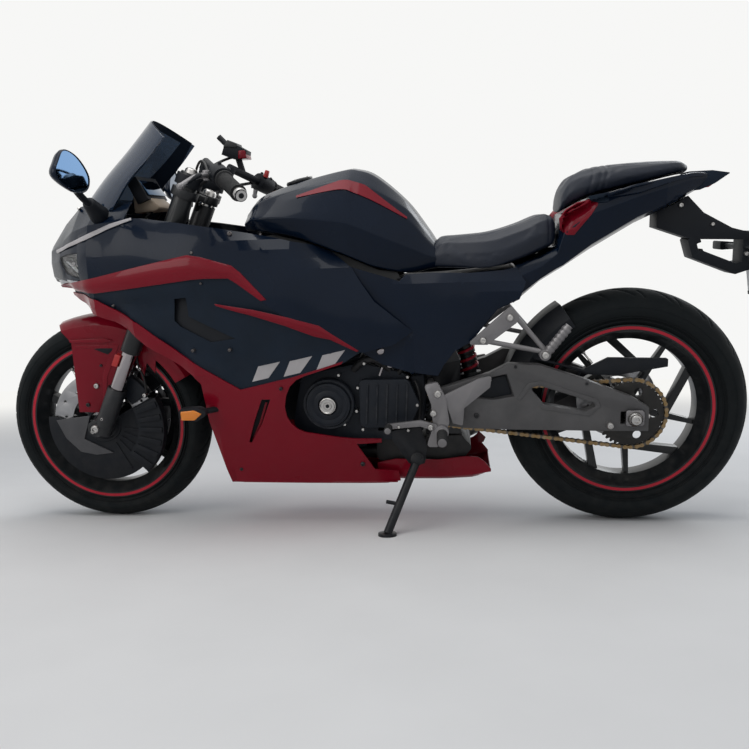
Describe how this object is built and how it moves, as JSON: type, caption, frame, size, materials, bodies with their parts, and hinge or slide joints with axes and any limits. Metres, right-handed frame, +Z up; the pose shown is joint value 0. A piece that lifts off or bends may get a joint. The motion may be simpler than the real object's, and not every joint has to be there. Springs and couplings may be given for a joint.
{
  "type": "sport motorcycle",
  "caption": "Fully faired sport motorcycle leaning on its side stand, with turning wheels, steering forks and a folding stand.",
  "frame": {"origin": "middle of the bounding box on the ground, with the bike leaning on its side stand", "axes": "+X to the rear of the bike, +Y to its right, +Z up from the ground"},
  "size_m": [2.089, 0.7814, 1.1044],
  "materials": {
    "arm_grey": "matte",
    "black_panel": "gloss",
    "black_tank": "gloss",
    "cast_alloy": "satin",
    "cast_wheel": "satin",
    "chain_gold": "satin",
    "chrome_tube": "polished",
    "dark_trim": "matte",
    "disc_steel": "brushed",
    "engine_metal": "matte",
    "exhaust_metal": "matte",
    "fork_black": "satin",
    "frame_paint": "satin",
    "lamp_lens": "gloss",
    "plate_white": "satin",
    "red_lens": "gloss",
    "red_panel": "gloss",
    "screen": "gloss",
    "seat_cover": "matte",
    "tyre_rubber": "matte"
  },
  "bodies": {
    "chassis": {"nose_cowl": "black_panel", "headlamps": "lamp_lens", "side_fairings": "dark_trim", "lower_fairings": "red_panel", "windscreen": "screen", "mirrors": "black_panel", "fuel_tank": "black_tank", "rider_seat": "seat_cover", "pillion_seat": "seat_cover", "tail_cowl": "black_panel", "frame_covers": "dark_trim", "frame_spars": "frame_paint", "seat_rails": "frame_paint", "engine_block": "engine_metal", "engine_covers": "engine_metal", "exhaust": "exhaust_metal", "radiator": "engine_metal", "instrument_panel": "dark_trim", "swingarm": "arm_grey", "rear_axle": "disc_steel", "chain_loop": "chain_gold", "rear_hugger": "dark_trim", "rear_caliper": "fork_black", "shock_absorber": "fork_black", "tail_lamp": "red_lens", "plate_bracket": "dark_trim", "number_plate": "plate_white", "front_indicators": "dark_trim", "rider_footrests": "cast_alloy", "pillion_footrests": "cast_alloy", "stand_bracket": "frame_paint"},
    "steering": {"fork_tubes": "fork_black", "fork_stanchions": "chrome_tube", "fork_feet": "fork_black", "steering_yokes": "cast_alloy", "handlebars": "fork_black", "front_fender": "red_panel", "brake_covers": "dark_trim", "front_calipers": "fork_black", "front_axle": "disc_steel"},
    "front_wheel": {"front_tyre": "tyre_rubber", "front_rim": "cast_wheel", "front_discs": "disc_steel"},
    "rear_wheel": {"rear_tyre": "tyre_rubber", "rear_rim": "cast_wheel", "rear_disc": "disc_steel", "rear_sprocket": "disc_steel"},
    "stand": {"side_stand": "frame_paint"}
  },
  "joints": [
    {"name": "steering", "type": "hinge", "parent": "chassis", "child": "steering", "pos_m": [-0.48345, 0.03006, 0.76157], "axis": [0.4147, -0.1486, 0.8977], "range_deg": [-30, 30]},
    {"name": "front_wheel", "type": "hinge", "parent": "steering", "child": "front_wheel", "pos_m": [-0.7515, 0.10815, 0.28989], "axis": [0, 0.9866, 0.1633], "continuous": true},
    {"name": "rear_wheel", "type": "hinge", "parent": "chassis", "child": "rear_wheel", "pos_m": [0.6985, 0.10368, 0.31688], "axis": [0, 0.9866, 0.1633], "continuous": true},
    {"name": "side_stand", "type": "hinge", "parent": "chassis", "child": "stand", "pos_m": [0.1425, -0.02285, 0.18728], "axis": [0.0481, -0.9929, 0.1086], "range_deg": [0, 95]}
  ]
}
